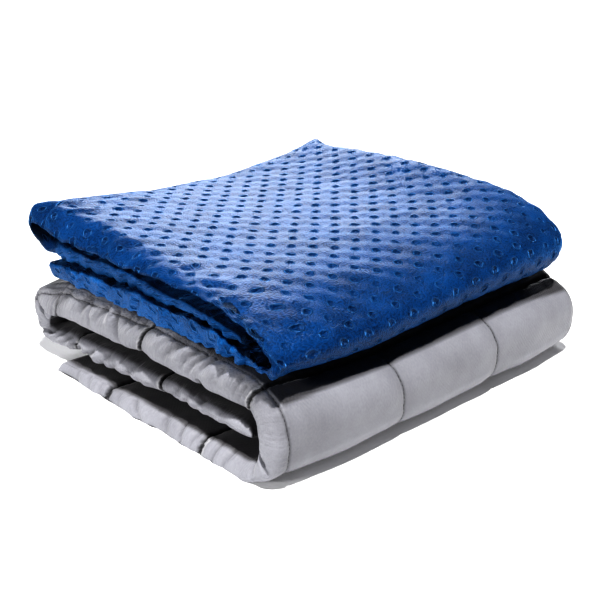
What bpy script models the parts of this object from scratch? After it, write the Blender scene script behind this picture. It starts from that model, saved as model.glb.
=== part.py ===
"""A weighted blanket folded for the shelf, with its own minky cover folded and laid on top.

Both are folded lengthwise to a thick strip and then rolled in three: the middle layer's end
lies inside the big front curl, the cloth turns up at the back into the top layer, comes
forward, rolls down round the front curl and runs back along the floor as the bottom layer.

Metres, +Z up. The origin is on the floor under the middle of the bundle. X runs along the
front curl, and the layered ends show at -X and +X. The front curl faces -Y.
"""

import math
from collections import namedtuple

import bmesh
import bpy

# ---------------------------------------------------------------- driving sizes

HALF_WIDTH = 0.155            # from the middle of the fold to its layered ends, along X
ORIGIN_X = 0.0010             # the fold's middle stands this far from the origin, because its
ORIGIN_Y = 0.0005             # layers reach further at one end than at the other
NEST_GAP = 0.0008             # air between the inner's top and the cover's underside

# Where the heights in the tables below are measured, along Y.
Y_BACK, Y_MIDDLE, Y_FRONT, Y_EDGE = 0.115, 0.000, -0.095, -0.135

# One row for each layer, in the order in which the cloth runs from its inner end. Its
# straight run goes from start to end along Y. low and high are its two faces where it
# starts, low_end and high_end where it ends, as a share of the bundle's height. left and
# right are how far its ends reach past HALF_WIDTH, and seam is how deep a sewn channel is.
Layer = namedtuple("Layer", "start end low high low_end high_end left right seam")

INNER_LAYERS = (
    Layer(start=-0.111, end=0.124, low=0.30, high=0.51, low_end=0.13, high_end=0.40,
          left=0.000, right=0.005, seam=0.0018),
    Layer(start=0.124, end=-0.112, low=0.505, high=1.00, low_end=0.58, high_end=1.00,
          left=0.002, right=0.010, seam=0.0030),
    Layer(start=-0.112, end=0.100, low=0.00, high=0.16, low_end=0.00, high_end=0.08,
          left=0.011, right=0.008, seam=0.0000),
)
COVER_LAYERS = (
    Layer(start=-0.100, end=0.122, low=0.36, high=0.56, low_end=0.40, high_end=0.60,
          left=-0.001, right=-0.004, seam=0.0),
    Layer(start=0.122, end=-0.104, low=0.74, high=1.00, low_end=0.68, high_end=1.00,
          left=0.003, right=0.003, seam=0.0),
    Layer(start=-0.104, end=0.118, low=0.00, high=0.27, low_end=0.00, high_end=0.30,
          left=-0.003, right=-0.002, seam=0.0),
)

# reach: how far a bend's outermost point lies past the straight runs that it joins.
# square: 2 is a true half oval, and more is boxier, in its upper and its lower half.
Bend = namedtuple("Bend", "reach square_above square_below")

INNER_BACK = Bend(reach=0.028, square_above=2.8, square_below=2.8)
INNER_FRONT = Bend(reach=0.0440, square_above=2.1, square_below=3.2)
COVER_BACK = Bend(reach=0.026, square_above=2.6, square_below=2.4)
COVER_FRONT = Bend(reach=0.0435, square_above=2.2, square_below=2.2)

# Height of each bundle, a row for each place across it.
Height = namedtuple("Height", "x back middle front edge")

INNER_HEIGHTS = (
    Height(x=-0.155, back=0.070, middle=0.074, front=0.071, edge=0.069),
    Height(x=-0.090, back=0.071, middle=0.073, front=0.068, edge=0.063),
    Height(x=0.000, back=0.071, middle=0.073, front=0.068, edge=0.063),
    Height(x=0.090, back=0.071, middle=0.073, front=0.068, edge=0.065),
    Height(x=0.155, back=0.070, middle=0.073, front=0.068, edge=0.063),
)
COVER_HEIGHTS = (
    Height(x=-0.155, back=0.050, middle=0.043, front=0.036, edge=0.029),
    Height(x=-0.110, back=0.050, middle=0.045, front=0.041, edge=0.037),
    Height(x=0.000, back=0.044, middle=0.043, front=0.044, edge=0.042),
    Height(x=0.090, back=0.047, middle=0.048, front=0.050, edge=0.046),
    Height(x=0.155, back=0.056, middle=0.060, front=0.056, edge=0.048),
)

# Sewn channels of the inner, which make its pockets of weight.
EDGE_SEAM = 0.1435                        # the channel next to each layered end, along X
CROSSWISE_SEAMS = (-EDGE_SEAM, -0.042, 0.062, EDGE_SEAM)
POCKET_LENGTH = 0.114                     # from seam to seam along the cloth
FIRST_POCKET = 0.096                      # from the inner end to its first seam
CHANNEL_HALF = 0.009                      # from a seam to the full thickness

FRONT_DRAW = 0.022                        # share by which the front curl draws in at its ends
BACK_DRAW = -0.02                         # and the back bend, which stands out there
CORNER_START = 0.105                      # where that begins, along X
END_ROUND = 0.013                         # largest length of a rounded end
END_SQUARE = 2.6

# How finely the solids are divided.
RUN_STEP = 0.030                          # longest step along a straight run
BEND_STEPS = 8                            # steps round each bend
END_ANGLES = (0.0, 24.0, 55.0, 90.0)      # where a rounded end is divided, in degrees
ACROSS_STEP = 0.042                       # longest step along X
SMALLEST_STEP = 0.004

GREY = (0.235, 0.240, 0.255, 1.0)
NAVY = (0.020, 0.060, 0.250, 1.0)

Station = namedtuple("Station", "y z normal_y normal_z half left right seam length")


# ---------------------------------------------------------------- small helpers

def blend(a, b, share):
    return a + (b - a) * share


def eased(share):
    """0 to 1 with a level start and end."""
    share = min(max(share, 0.0), 1.0)
    return share * share * (3.0 - 2.0 * share)


def between(places, values, place):
    """Value at a place, eased from each tabled place to the next. Places rise."""
    if place <= places[0]:
        return values[0]
    for low, high, a, b in zip(places, places[1:], values, values[1:]):
        if place <= high:
            return blend(a, b, eased((place - low) / (high - low)))
    return values[-1]


def spaced(start, end, step):
    """Places from start to end, no further apart than step."""
    count = max(1, math.ceil(abs(end - start) / step))
    return [blend(start, end, i / count) for i in range(count + 1)]


def squared(value, square):
    """A cosine or sine moved from a circle to a boxier oval."""
    return math.copysign(abs(value) ** (2.0 / square), value)


# ---------------------------------------------------------------- heights of the bundles

def bundle_height(table, x, y):
    """Height of a bundle over one place of its footprint, from its table."""
    across = [between((Y_EDGE, Y_FRONT, Y_MIDDLE, Y_BACK),
                      (row.edge, row.front, row.middle, row.back), y) for row in table]
    return between([row.x for row in table], across, x)


def inner_level(x, y, share):
    """Height of a share of the inner's thickness: 0 is the floor, 1 its top."""
    return share * bundle_height(INNER_HEIGHTS, x, y)


def cover_level(x, y, share):
    """Height of a share of the cover's thickness: 0 is just above the inner's top."""
    underside = inner_level(x, y, 1.0) + NEST_GAP
    return underside + share * bundle_height(COVER_HEIGHTS, x, y)


# ---------------------------------------------------------------- the folded section

def run_stations(layer, outward):
    """Stations of one layer's straight run. outward is the side that faces out: 1 up, -1 down."""
    stations = []
    for y in spaced(layer.start, layer.end, RUN_STEP):
        share = (y - layer.start) / (layer.end - layer.start)
        low = blend(layer.low, layer.low_end, share)
        high = blend(layer.high, layer.high_end, share)
        stations.append(Station(y, (low + high) / 2, 0.0, outward, (high - low) / 2,
                                layer.left, layer.right, layer.seam, 0.0))
    return stations


def bend_stations(before, after, bend, facing, scale):
    """Stations round the bend between two stations, its own ends left out.

    facing is 1 for the bend at +Y and -1 for the one at -Y. scale turns a share of the
    bundle's height into metres, so that the thickness is measured square to the bend."""
    run = bend.reach - (before.half + after.half) / 2 * scale
    middle, rise = (before.z + after.z) / 2, (after.z - before.z) / 2
    points = []
    for i in range(BEND_STEPS + 1):
        angle = math.pi * i / BEND_STEPS
        z_way = -math.cos(angle) * rise
        square = bend.square_above if z_way > 0 else bend.square_below
        points.append((before.y + facing * run * squared(math.sin(angle), square),
                       middle - rise * squared(math.cos(angle), square)))
    stations = []
    for i in range(1, BEND_STEPS):
        share = i / BEND_STEPS
        along_y = points[i + 1][0] - points[i - 1][0]
        along_z = (points[i + 1][1] - points[i - 1][1]) * scale
        size = math.hypot(along_y, along_z)
        y, z = points[i]
        stations.append(Station(
            y, z, along_z / size, -along_y / size,
            blend(before.half, after.half, eased(share)),
            blend(before.left, after.left, share),
            blend(before.right, after.right, share),
            blend(before.seam, after.seam, share), 0.0))
    return stations


def rounded_end(last, way, scale):
    """Stations past a free end of the cloth, which round it off towards way along Y."""
    radius = last.half * scale
    return [last._replace(y=last.y + way * radius * squared(math.cos(turn), END_SQUARE),
                          half=last.half * squared(math.sin(turn), END_SQUARE))
            for turn in map(math.radians, END_ANGLES[:-1])]


def with_lengths(stations, scale):
    """Stations with their distance along the cloth from its inner end."""
    measured = []
    length = 0.0
    last = stations[0]
    for station in stations:
        length += math.hypot(station.y - last.y, (station.z - last.z) * scale)
        measured.append(station._replace(length=length))
        last = station
    return measured


def folded_section(layers, back, front, scale):
    """All stations along the cloth: middle layer, back bend, top layer, front curl, bottom layer."""
    middle, top, bottom = (run_stations(layer, outward)
                           for layer, outward in zip(layers, (-1.0, 1.0, -1.0)))
    stations = rounded_end(middle[0], -1.0, scale)
    stations += middle
    stations += bend_stations(middle[-1], top[0], back, 1.0, scale)
    stations += top
    stations += bend_stations(top[-1], bottom[0], front, -1.0, scale)
    stations += bottom
    stations += reversed(rounded_end(bottom[-1], 1.0, scale))
    return with_lengths(stations, scale)


def with_seam_stations(stations, seams):
    """Adds stations at the seams that lie across the cloth, and where their channels begin."""
    wanted = [seam + side * CHANNEL_HALF for seam in seams for side in (-1.0, 0.0, 1.0)]
    filled = [stations[0]]
    for station in stations[1:]:
        last = filled[-1]
        for place in wanted:
            if last.length + SMALLEST_STEP / 2 < place < station.length - SMALLEST_STEP / 2:
                share = (place - last.length) / (station.length - last.length)
                filled.append(Station(*(blend(a, b, share) for a, b in zip(last, station))))
                last = filled[-1]
        filled.append(station)
    return filled


# ---------------------------------------------------------------- the solids

def across_places(seams):
    """Places across the cloth, from -X to +X: (side, turn) for a rounded end, (0, x) between."""
    places = {round(x, 5) for x in spaced(-EDGE_SEAM, EDGE_SEAM, ACROSS_STEP)}
    places |= {round(seam + side * CHANNEL_HALF, 5) for seam in seams for side in (-1, 0, 1)}
    kept = [-EDGE_SEAM]
    for x in sorted(places):
        if x - kept[-1] > SMALLEST_STEP and x <= EDGE_SEAM:
            kept.append(x)
    turns = [math.radians(angle) for angle in END_ANGLES]
    return ([(-1, turn) for turn in turns] + [(0, x) for x in kept]
            + [(1, turn) for turn in reversed(turns)])


def channel_depth(x, length, seams, cross_seams, depth):
    """How far the nearest sewn channel draws the cloth in at one place."""
    away = min([abs(x - seam) for seam in seams] + [abs(length - seam) for seam in cross_seams],
               default=CHANNEL_HALF)
    return depth * (1.0 - eased(away / CHANNEL_HALF))


def cloth_point(station, place, side, level, scale, seams, cross_seams):
    """Point on one skin of the folded cloth. side is 1 for the outer skin, -1 for the inner."""
    end, where = place
    half = station.half * scale
    x = where
    if end:
        reach = HALF_WIDTH + (station.left if end < 0 else station.right)
        radius = min(max(1.2 * half, SMALLEST_STEP), END_ROUND)
        x = end * (reach - radius * (1.0 - squared(math.cos(where), END_SQUARE)))
        half *= squared(math.sin(where), END_SQUARE)
    half -= min(channel_depth(x, station.length, seams, cross_seams, station.seam), 0.6 * half)
    y = station.y + side * station.normal_y * half
    share = station.z + side * station.normal_z * half / scale
    corner = eased((abs(x) - CORNER_START) / (HALF_WIDTH - CORNER_START))
    y *= 1.0 - corner * (FRONT_DRAW if y < 0 else BACK_DRAW)
    return x + ORIGIN_X, y + ORIGIN_Y, level(x, y, share)


def folded_cloth(name, stations, level, scale, material, seams=(), cross_seams=()):
    """One closed solid of the folded cloth: two skins of a flat grid, welded round their rim."""
    places = across_places(seams)
    rows, columns = len(stations) - 1, len(places) - 1
    bm = bmesh.new()
    for side in (1, -1):
        skin = bmesh.ops.create_grid(bm, x_segments=rows, y_segments=columns, size=0.5)
        for vert in skin["verts"]:
            station = stations[round((vert.co.x + 0.5) * rows)]
            place = places[round((vert.co.y + 0.5) * columns)]
            vert.co = cloth_point(station, place, side, level, scale, seams, cross_seams)
    bmesh.ops.remove_doubles(bm, verts=bm.verts, dist=1e-6)
    bmesh.ops.recalc_face_normals(bm, faces=bm.faces)
    bmesh.ops.triangulate(bm, faces=bm.faces)
    mesh = bpy.data.meshes.new(name)
    bm.to_mesh(mesh)
    bm.free()
    mesh.shade_smooth()
    mesh.materials.append(material)
    solid = bpy.data.objects.new(name, mesh)
    bpy.context.scene.collection.objects.link(solid)
    return solid


def cloth_material(name, colour, roughness):
    material = bpy.data.materials.new(name)
    material.use_nodes = True
    shader = material.node_tree.nodes["Principled BSDF"]
    shader.inputs["Base Color"].default_value = colour
    shader.inputs["Roughness"].default_value = roughness
    shader.inputs["Metallic"].default_value = 0.0
    return material


def weighted_inner():
    """The grey quilted inner with its pockets of weight."""
    scale = INNER_HEIGHTS[2].middle
    stations = folded_section(INNER_LAYERS, INNER_BACK, INNER_FRONT, scale)
    pockets = int((stations[-1].length - FIRST_POCKET) / POCKET_LENGTH)
    cross_seams = [FIRST_POCKET + i * POCKET_LENGTH for i in range(pockets + 1)]
    return folded_cloth("weighted_inner", with_seam_stations(stations, cross_seams),
                        inner_level, scale, cloth_material("quilted_cotton", GREY, 0.75),
                        CROSSWISE_SEAMS, cross_seams)


def minky_cover():
    """The blue minky cover, folded and laid on the inner."""
    scale = COVER_HEIGHTS[2].middle
    stations = folded_section(COVER_LAYERS, COVER_BACK, COVER_FRONT, scale)
    return folded_cloth("minky_cover", stations, cover_level, scale,
                        cloth_material("minky", NAVY, 0.9))


for old in list(bpy.data.objects):
    bpy.data.objects.remove(old)
weighted_inner()
minky_cover()
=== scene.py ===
"""Looks of a weighted blanket folded for the shelf: its quilted cotton inner, with its own
dotted minky cover folded and laid on top.

Metres, +Z up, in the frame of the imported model. Each cloth is one closed tube: its rows run
along the cloth, from the end inside the fold to the end underneath, and its columns run
round its flattened section, from the -X rim over the outer skin and back along the inner one.
"""

import math
from collections import namedtuple

import bmesh
import bpy
import numpy as np
from mathutils import Matrix, Vector, noise


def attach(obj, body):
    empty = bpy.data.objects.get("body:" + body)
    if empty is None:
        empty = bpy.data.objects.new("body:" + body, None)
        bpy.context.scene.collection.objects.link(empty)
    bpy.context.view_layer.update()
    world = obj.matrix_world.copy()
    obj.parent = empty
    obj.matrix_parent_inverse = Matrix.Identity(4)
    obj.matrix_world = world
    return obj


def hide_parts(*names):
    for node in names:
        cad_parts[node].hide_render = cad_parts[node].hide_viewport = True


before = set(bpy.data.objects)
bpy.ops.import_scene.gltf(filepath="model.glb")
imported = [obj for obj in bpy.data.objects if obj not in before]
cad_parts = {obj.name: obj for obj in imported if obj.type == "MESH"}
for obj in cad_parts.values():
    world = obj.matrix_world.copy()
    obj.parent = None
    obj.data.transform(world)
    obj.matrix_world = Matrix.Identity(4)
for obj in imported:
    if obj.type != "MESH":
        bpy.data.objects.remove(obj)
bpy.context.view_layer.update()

MM = 0.001

# Lumps of noise: their height, their size and the seed that sets where they lie.
Lumps = namedtuple("Lumps", "height size seed")

# ---------------------------------------------------------------- camera

CAMERA_AT = (-0.5483, -0.5874, 0.3715)
CAMERA_PITCH = 22.09          # degrees below the horizon
CAMERA_HEADING = 46.95        # degrees from +X towards +Y
CAMERA_LENS = 64.35

# ---------------------------------------------------------------- the fold, as in the model

HALF_WIDTH = 0.155            # from the middle of the fold to its layered ends, along X
ORIGIN_X = 0.0010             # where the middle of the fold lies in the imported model
ORIGIN_Y = 0.0005
NEST_GAP = 0.0008             # air between the inner's top and the cover's underside
LEAST_GAP = 0.0003            # what is left of it where the cover's relief comes down

# One row for each layer. low and high are its faces where it starts, low_end and high_end
# where it ends, as a share of the bundle's height. left and right are how far its ends reach
# past HALF_WIDTH.
Layer = namedtuple("Layer", "start end low high low_end high_end left right")

INNER_LAYERS = (
    Layer(start=-0.106, end=0.124, low=0.31, high=0.49, low_end=0.13, high_end=0.40,
          left=0.000, right=0.005),
    Layer(start=0.124, end=-0.112, low=0.505, high=1.00, low_end=0.58, high_end=1.00,
          left=0.002, right=0.015),
    Layer(start=-0.112, end=0.100, low=0.00, high=0.16, low_end=0.00, high_end=0.08,
          left=0.011, right=0.012),
)
COVER_LAYERS = (
    Layer(start=-0.106, end=0.122, low=0.45, high=0.65, low_end=0.30, high_end=0.51,
          left=-0.001, right=-0.004),
    Layer(start=0.122, end=-0.104, low=0.73, high=1.00, low_end=0.77, high_end=1.00,
          left=0.004, right=0.003),
    Layer(start=-0.104, end=0.121, low=0.00, high=0.42, low_end=0.00, high_end=0.24,
          left=0.001, right=-0.002),
)

# reach: how far a bend's outermost point lies past the straight runs that it joins.
# square: 2 is a true half oval, and more is boxier, in its upper and its lower half.
Bend = namedtuple("Bend", "reach square_above square_below")

INNER_BACK = Bend(reach=0.028, square_above=5.5, square_below=3.0)
INNER_FRONT = Bend(reach=0.0450, square_above=2.6, square_below=3.2)
COVER_BACK = Bend(reach=0.026, square_above=2.6, square_below=2.4)
COVER_FRONT = Bend(reach=0.0428, square_above=2.2, square_below=2.2)

# Free ends of the cloth, inside the fold and under it: their length as a multiple of half the
# cloth's thickness, and their squareness.
Free = namedtuple("Free", "inside under square")

INNER_FREE = Free(inside=2.6, under=0.8, square=2.0)
COVER_FREE = Free(inside=1.6, under=0.6, square=4.0)

# Height of each bundle, a row for each place across it, at four places along Y.
HEIGHT_PLACES = (-0.135, -0.095, 0.000, 0.115)
Height = namedtuple("Height", "x edge front middle back")

INNER_HEIGHTS = (
    Height(x=-0.155, edge=0.069, front=0.071, middle=0.074, back=0.070),
    Height(x=-0.090, edge=0.063, front=0.068, middle=0.073, back=0.071),
    Height(x=0.000, edge=0.063, front=0.068, middle=0.073, back=0.071),
    Height(x=0.090, edge=0.065, front=0.068, middle=0.073, back=0.071),
    Height(x=0.155, edge=0.063, front=0.068, middle=0.073, back=0.070),
)
COVER_HEIGHTS = (
    Height(x=-0.155, edge=0.030, front=0.041, middle=0.047, back=0.059),
    Height(x=-0.110, edge=0.034, front=0.041, middle=0.046, back=0.054),
    Height(x=0.000, edge=0.040, front=0.044, middle=0.044, back=0.045),
    Height(x=0.090, edge=0.046, front=0.050, middle=0.050, back=0.049),
    Height(x=0.155, edge=0.047, front=0.056, middle=0.064, back=0.062),
)
CORNER_DROP = 0.013           # how far the inner's back corner sags at its -X end
SAG_START = (-0.085, 0.100)   # where that begins, along X and Y
SAG_OVER = (0.070, 0.050)     # and how far on it is complete

# Rounding of the layered ends: its length as a multiple of half the cloth's thickness, for
# each stretch of the cloth, its largest length, there and at the back bend, and its squareness.
Ends = namedtuple("Ends", "long largest at_back square")

INNER_ENDS = Ends(long=(1.6, 1.5, 1.5, 1.5, 2.4, 2.4), largest=0.0130, at_back=0.0050, square=2.2)
COVER_ENDS = Ends(long=(1.3, 1.4, 5.0, 5.0, 1.5, 1.0), largest=0.0240, at_back=0.0070, square=2.0)

FRONT_DRAW = 0.022            # share by which the front curl draws in at its ends
BACK_DRAW = -0.02             # and the back bend, which stands out there
CORNER_START = 0.105          # where that begins, along X
END_SMALLEST = 0.004          # least length of a rounded end
LATE_THINNING = 0.35          # share of a bend after which the cloth's thickness changes
SAMPLE = 0.0005               # step of the sampled section, along the cloth
BEND_SAMPLES = 400            # samples round a bend, before they are spaced evenly
END_SAMPLES = 60              # and round a free end
TURN_SAMPLES = 500            # and round a layered end, to divide it evenly
HEADING_SAMPLES = 19          # samples over which the cloth's direction is smoothed
FREE_REACH = 0.03             # length at a free end over which the cloth comes to lie smooth

# At the -X end the cloth is thinner from the back bend to the front curl: how much of that it
# has at the back bend and on the way to the curl, and how far in it reaches, as a share of
# the flat part's width.
BACK_PINCH = 0.5
TOP_PINCH = 0.75
PINCH_REACH = 0.12

END_FACING = 0.35             # how far a surface faces -X where it counts as the layered end
END_START = -0.1              # and how far out it has to lie

# ---------------------------------------------------------------- quilting of the inner

# Sewn lines that run along the cloth, with a value for each stretch of it. An edge seam's
# value is how far it lies from its end's rim, and a channel seam's is its place along X.
SeamLine = namedtuple("SeamLine", "middle back top front bottom end")

LEFT_EDGE_SEAM = SeamLine(middle=0.012, back=0.012, top=0.012, front=0.0175, bottom=0.019, end=0.017)
RIGHT_EDGE_SEAM = SeamLine(middle=0.012, back=0.012, top=0.014, front=0.016, bottom=0.016, end=0.016)
CHANNEL_SEAMS = (
    SeamLine(middle=-0.0420, back=-0.0420, top=-0.0430, front=-0.0500, bottom=-0.0410, end=-0.0410),
    SeamLine(middle=0.0620, back=0.0620, top=0.0560, front=0.0530, bottom=0.0640, end=0.0630),
)
HEM_WIDTH = 0.0075            # from the edge seam to the hem's inner fold
POCKET_LENGTH = 0.114                           # from seam to seam along the cloth
FIRST_POCKET = 0.103                            # from the end inside the fold to its first cross seam
SLACK_SEAM = 2                # this cross seam lies slack, so its slit hardly shows
SLACK_SLIT = 0.25             # how much of a slit it has
END_CREASING = 2.0            # how far the creases of the layered end stand out
END_SKEW = (0.004, -0.006, -0.020, -0.012, 0.0, 0.0)   # how far the cloth slips at the -X end
STITCH_PITCH = 0.0032         # from stitch to stitch
STITCH_LENGTH = 0.0025
STITCH_THICK = 0.00055

# Dips along and beside the sewn lines, and the marks that colour them: how deep a dip is in
# its middle, or how strong a mark, and how wide.
Groove = namedtuple("Groove", "depth width")

EDGE_LINE, EDGE_DIP = Groove(0.0012, 0.0011), Groove(0.0010, 0.0080)
HEM_LINE = Groove(0.0007, 0.0009)
CHANNEL_LINE, CHANNEL_DIP = Groove(0.0009, 0.0009), Groove(0.0011, 0.0090)
CROSS_SLIT, CROSS_DIP = Groove(0.0028, 0.0010), Groove(0.0014, 0.0080)
CROSS_LIP = Groove(0.0005, 0.0010)
EDGE_DARK, CHANNEL_DARK, CROSS_DARK = Groove(0.45, 0.0008), Groove(0.60, 0.0009), Groove(2.4, 0.0013)
# painted highlight on the lip beside a cross seam's slit: its strength and width
CROSS_HIGHLIGHT = Groove(1.0, 0.0006)
LIP_AT, HIGHLIGHT_AT = 0.0024, 0.0023                # how far from its slit the lip stands, and its painted highlight lies

# Lumps of the inner: waves of its rims, its filling, the way its seams wander, and what the
# sewing gathers.
INNER_LIP = (Lumps(0.0014, 0.024, 31), Lumps(0.0006, 0.009, 32))
INNER_RUFFLES = (Lumps(0.0016, 0.020, 33), Lumps(0.0007, 0.008, 34))
INNER_FILL = (Lumps(0.0012, 0.040, 5), Lumps(0.0003, 0.014, 6))
SEAM_WANDER = Lumps(0.0012, 0.03, 9)
CROSS_WANDER = Lumps(0.0010, 0.0034, 10)
PLEATS = Lumps(0.0012, 0.0100, 12)
GATHERS = Lumps(0.0009, 0.0042, 7)
PUCKERS = Lumps(0.0005, 0.0060, 8)
CRUMPLE = Lumps(0.0006, 0.0060, 11)
LEAST_GATHER = 0.25           # share of the gathers that the front curl and what follows keep
LEAST_HEM = 0.15              # and share of the hem's puckers

INNER_FLAT_START = -0.144     # where the flat part of the inner begins, along X
INNER_FLAT = 0.293            # and how wide it is
INNER_HALF_THICK = 0.016      # half the inner's thickness, to divide its rounded ends

# Troughs (and ridges, with a height above 0), listed one by one, each a straight stretch seen
# square to its side: a is Y and b is Z on the -X end, and they are X and Y on top. A crease
# has less than half of its height left at its end.
Crease = namedtuple("Crease", "a b a_end b_end height width")

INNER_END_CREASES = (
    # upper layer, from the back corner to the front
    Crease(0.101, 0.070, 0.120, 0.048, 0.0012, 0.0016),
    Crease(0.096, 0.068, 0.112, 0.050, -0.0010, 0.0028),
    Crease(0.082, 0.067, 0.095, 0.049, 0.0011, 0.0050),
    Crease(0.072, 0.069, 0.081, 0.055, -0.0020, 0.0026),
    Crease(0.067, 0.069, 0.068, 0.045, -0.0012, 0.0018),
    Crease(0.052, 0.068, 0.060, 0.056, 0.0008, 0.0034),
    Crease(0.041, 0.071, 0.056, 0.057, -0.0018, 0.0024),
    Crease(0.037, 0.070, 0.042, 0.044, 0.0016, 0.0042),
    Crease(0.031, 0.070, 0.033, 0.043, -0.0022, 0.0017),
    Crease(0.017, 0.072, 0.023, 0.062, -0.0012, 0.0020),
    Crease(0.008, 0.072, 0.011, 0.064, -0.0010, 0.0016),
    Crease(-0.001, 0.072, 0.004, 0.064, -0.0014, 0.0017),
    Crease(-0.033, 0.070, -0.018, 0.060, 0.0012, 0.0040),
    Crease(-0.036, 0.071, -0.022, 0.060, -0.0012, 0.0020),
    Crease(-0.047, 0.071, -0.027, 0.053, -0.0011, 0.0026),
    Crease(-0.055, 0.070, -0.040, 0.056, 0.0008, 0.0028),
    Crease(-0.061, 0.070, -0.047, 0.053, -0.0014, 0.0022),
    Crease(-0.070, 0.070, -0.053, 0.050, -0.0018, 0.0020),
    Crease(-0.079, 0.070, -0.069, 0.058, -0.0020, 0.0016),
    Crease(-0.082, 0.062, -0.074, 0.048, 0.0014, 0.0055),
    Crease(-0.090, 0.066, -0.081, 0.050, -0.0014, 0.0024),
    Crease(-0.098, 0.064, -0.094, 0.052, 0.0010, 0.0034),
    Crease(-0.107, 0.066, -0.103, 0.052, -0.0013, 0.0022),
    Crease(-0.113, 0.062, -0.104, 0.045, -0.0012, 0.0018),
    Crease(-0.122, 0.066, -0.112, 0.053, -0.0014, 0.0018),
    Crease(-0.064, 0.044, -0.062, 0.034, -0.0040, 0.0034),
    # folds of the back corner
    Crease(0.153, 0.048, 0.130, 0.031, -0.0040, 0.0015),
    Crease(0.152, 0.017, 0.130, 0.022, -0.0036, 0.0014),
    # middle layer
    Crease(0.127, 0.027, 0.136, 0.018, -0.0014, 0.0024),
    Crease(0.116, 0.027, 0.127, 0.016, -0.0016, 0.0024),
    Crease(0.106, 0.026, 0.116, 0.016, -0.0016, 0.0022),
    Crease(0.096, 0.025, 0.105, 0.017, -0.0014, 0.0022),
    Crease(0.089, 0.021, 0.093, 0.012, -0.0018, 0.0018),
    Crease(0.068, 0.026, 0.088, 0.011, -0.0020, 0.0020),
    Crease(0.062, 0.025, 0.069, 0.014, 0.0010, 0.0040),
    Crease(0.050, 0.028, 0.059, 0.016, -0.0016, 0.0026),
    Crease(0.034, 0.030, 0.046, 0.016, -0.0013, 0.0026),
    Crease(0.016, 0.032, 0.024, 0.020, -0.0008, 0.0026),
    Crease(-0.037, 0.032, -0.027, 0.020, -0.0012, 0.0026),
    Crease(-0.053, 0.033, -0.045, 0.022, -0.0010, 0.0026),
    Crease(-0.066, 0.034, -0.060, 0.026, -0.0012, 0.0022),
    Crease(-0.088, 0.034, -0.078, 0.026, -0.0008, 0.0026),
    # lower layer
    Crease(0.084, 0.010, 0.079, 0.001, -0.0010, 0.0018),
    Crease(0.069, 0.011, 0.060, 0.001, -0.0012, 0.0022),
    Crease(0.050, 0.010, 0.046, 0.000, -0.0010, 0.0020),
    Crease(0.028, 0.011, 0.022, 0.002, -0.0010, 0.0020),
    Crease(-0.026, 0.012, -0.036, 0.002, -0.0012, 0.0024),
    Crease(-0.066, 0.014, -0.064, 0.002, -0.0016, 0.0015),
    Crease(0.009, 0.010, -0.008, 0.000, -0.0014, 0.0018),
    Crease(-0.046, 0.012, -0.054, 0.001, -0.0020, 0.0015),
    Crease(-0.078, 0.012, -0.078, 0.000, -0.0014, 0.0016),
    Crease(-0.089, 0.014, -0.088, 0.000, -0.0022, 0.0016),
    Crease(-0.103, 0.015, -0.100, 0.002, -0.0022, 0.0016),
    Crease(-0.118, 0.024, -0.128, 0.008, -0.0014, 0.0018),
    Crease(-0.130, 0.031, -0.131, 0.023, -0.0024, 0.0015),
    Crease(-0.131, 0.023, -0.142, 0.013, -0.0024, 0.0015),
    Crease(-0.129, 0.024, -0.138, 0.018, -0.0030, 0.0016),
)

# ---------------------------------------------------------------- dots of the cover

DOT_CELL = 0.010607           # half the step from dot to dot along the sides of the cloth
CELLS_ROUND = 60              # such half steps round the cover, an even number
DOT_AT = (0.0787, 0.0605)     # one dot on the top, which sets where the others lie
DOT_TURN = math.radians(0.925)                  # how far the grid is turned on the top
DOT_TURN_REACH = 0.12         # how far out along X that turn holds
DOT_TURN_OVER = 0.03          # and how far on it is gone
DOT_PIT = 0.0009              # depth of a dot's pit
DOT_PIT_WIDTH = 0.0022
DOT_RIM = 0.0003              # height of the rim round it
DOT_RIM_AT = 0.0038           # how far the rim stands from the dot's middle
DOT_RIM_WIDTH = 0.0012
PUFF_ACROSS = 0.0006          # how far the cloth stands up between its rows of dots
PUFF_ALONG = 0.0004           # and between its columns
LIP_CREASING = 1.5            # how far the creases of the cover's top stand out

# Lumps of the cover: the way its dots sway, waves of its rims, and folds of its layered ends.
DOT_SWAY = Lumps(0.0012, 0.05, 1)
COVER_LIP = (Lumps(0.0016, 0.021, 21), Lumps(0.0007, 0.008, 22))
COVER_RUFFLES = (Lumps(0.0024, 0.019, 23), Lumps(0.0011, 0.008, 24))
COVER_WAVES = Lumps(0.0011, 0.050, 3)
COVER_LUMPS = Lumps(0.0005, 0.020, 4)
CORNER_CRUMPLE = Lumps(0.0042, 0.0075, 25)      # twisted folds of the front corner
EDGE_RUFFLE = Lumps(0.0026, 0.0065, 26)         # slanted ruffles of the lower layers' ends
RIGHT_RUFFLES = 0.6           # share of the ruffles that the +X end has
COVER_TUCK = 0.006            # how far the lower part of the back bend is drawn in at -X
COVER_PINCH = 0.7             # share by which the cloth is thinner at -X
COVER_HALF_THICK = 0.0056     # half the cover's thickness, to divide its rounded ends
LOWER_SHARE = 0.6             # share of the front curl after which the lower layer begins

# How far the layered ends hang, for each stretch of the cloth.
COVER_DROOP = (-0.001, 0.001, 0.0090, -0.001, -0.006, -0.003)
INNER_DROOP = (0.0, 0.0, 0.0, 0.0, 0.005, 0.005)

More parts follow.
